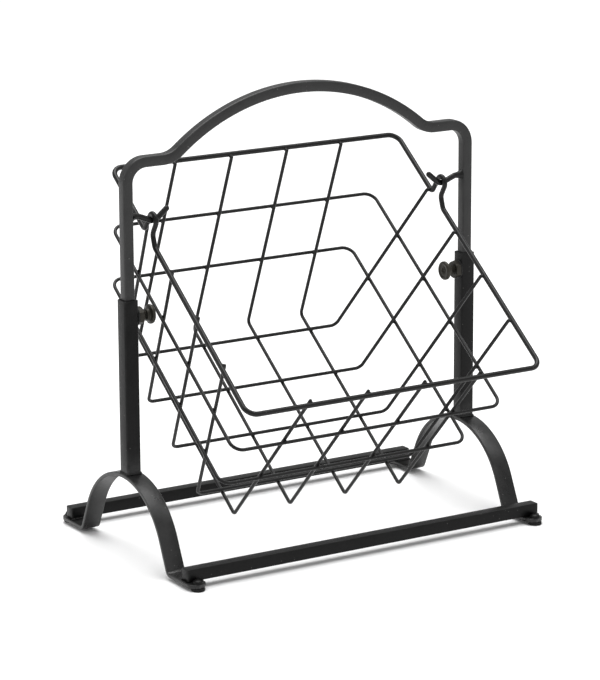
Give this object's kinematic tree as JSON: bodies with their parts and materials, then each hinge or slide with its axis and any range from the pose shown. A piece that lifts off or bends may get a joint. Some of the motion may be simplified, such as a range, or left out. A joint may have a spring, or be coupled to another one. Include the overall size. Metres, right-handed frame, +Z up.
{
  "type": "photo album stand",
  "caption": "Metal stand with a height-adjustable bent handle carrying a hanging wire basket for photo albums, on arched feet joined by floor rails.",
  "frame": {"origin": "floor level under the middle of the whole object's box; the plane of the posts, handle and hooks lies 9.6 mm behind it", "axes": "+X to the right along the floor rails, +Y to the rear, +Z up"},
  "size_m": [0.426, 0.3517, 0.4686],
  "materials": {
    "black_powder_coat": "satin black powder coat on square tube, square bar and flat bar",
    "black_wire_coat": "satin black coat on round wire",
    "dark_screw_finish": "dark bronze-black finish on the clamp screws and nuts",
    "dark_rubber": "matt black moulded glide"
  },
  "bodies": {
    "stand_base": {"left_leg_arch": "black_powder_coat", "right_leg_arch": "black_powder_coat", "front_rail": "black_powder_coat", "rear_rail": "black_powder_coat", "left_post_sleeve": "black_powder_coat", "right_post_sleeve": "black_powder_coat", "left_clamp_nut": "dark_screw_finish", "right_clamp_nut": "dark_screw_finish", "front_left_foot_glide": "dark_rubber", "front_left_foot_screw": "black_powder_coat", "front_right_foot_glide": "dark_rubber", "front_right_foot_screw": "black_powder_coat", "rear_left_foot_glide": "dark_rubber", "rear_left_foot_screw": "black_powder_coat", "rear_right_foot_glide": "dark_rubber", "rear_right_foot_screw": "black_powder_coat"},
    "handle": {"bent_handle": "black_powder_coat", "left_hook_rod": "black_powder_coat", "right_hook_rod": "black_powder_coat"},
    "left_stud": {"left_clamp_stud": "dark_screw_finish"},
    "right_stud": {"right_clamp_stud": "dark_screw_finish"},
    "left_knob": {"left_clamp_knob": "dark_screw_finish"},
    "right_knob": {"right_clamp_knob": "dark_screw_finish"},
    "basket": {"basket_rim": "black_wire_coat", "basket_ring_upper": "black_wire_coat", "basket_ring_lower": "black_wire_coat", "basket_cross_wire_1": "black_wire_coat", "basket_cross_wire_2": "black_wire_coat", "basket_cross_wire_3": "black_wire_coat", "basket_cross_wire_4": "black_wire_coat", "basket_long_wire_1": "black_wire_coat", "basket_long_wire_2": "black_wire_coat", "basket_long_wire_3": "black_wire_coat", "basket_long_wire_4": "black_wire_coat"}
  },
  "joints": [
    {"name": "handle_slide", "type": "slide", "parent": "stand_base", "child": "handle", "axis": [0, 0, 1], "range_m": [-0.02, 0.1]},
    {"name": "basket_swing", "type": "hinge", "parent": "handle", "child": "basket", "pos_m": [0, 0.0103, 0.3445], "axis": [1, 0, 0], "range_deg": [-35, 20]},
    {"name": "left_knob_turn", "type": "hinge", "parent": "left_stud", "child": "left_knob", "pos_m": [-0.18, 0.0103, 0.249], "axis": [1, 0, 0], "range_deg": [0, 1080]},
    {"name": "right_knob_turn", "type": "hinge", "parent": "right_stud", "child": "right_knob", "pos_m": [0.18, 0.0103, 0.249], "axis": [-1, 0, 0], "range_deg": [0, 1080]},
    {"name": "left_stud_travel", "type": "slide", "parent": "stand_base", "child": "left_stud", "axis": [1, 0, 0], "range_m": [0, 0.0045]},
    {"name": "right_stud_travel", "type": "slide", "parent": "stand_base", "child": "right_stud", "axis": [-1, 0, 0], "range_m": [0, 0.0045]}
  ],
  "couplings": [
    {"joint": "left_knob_turn", "follows": "left_stud_travel", "rad_per_m": 4188.8},
    {"joint": "right_knob_turn", "follows": "right_stud_travel", "rad_per_m": 4188.8}
  ]
}
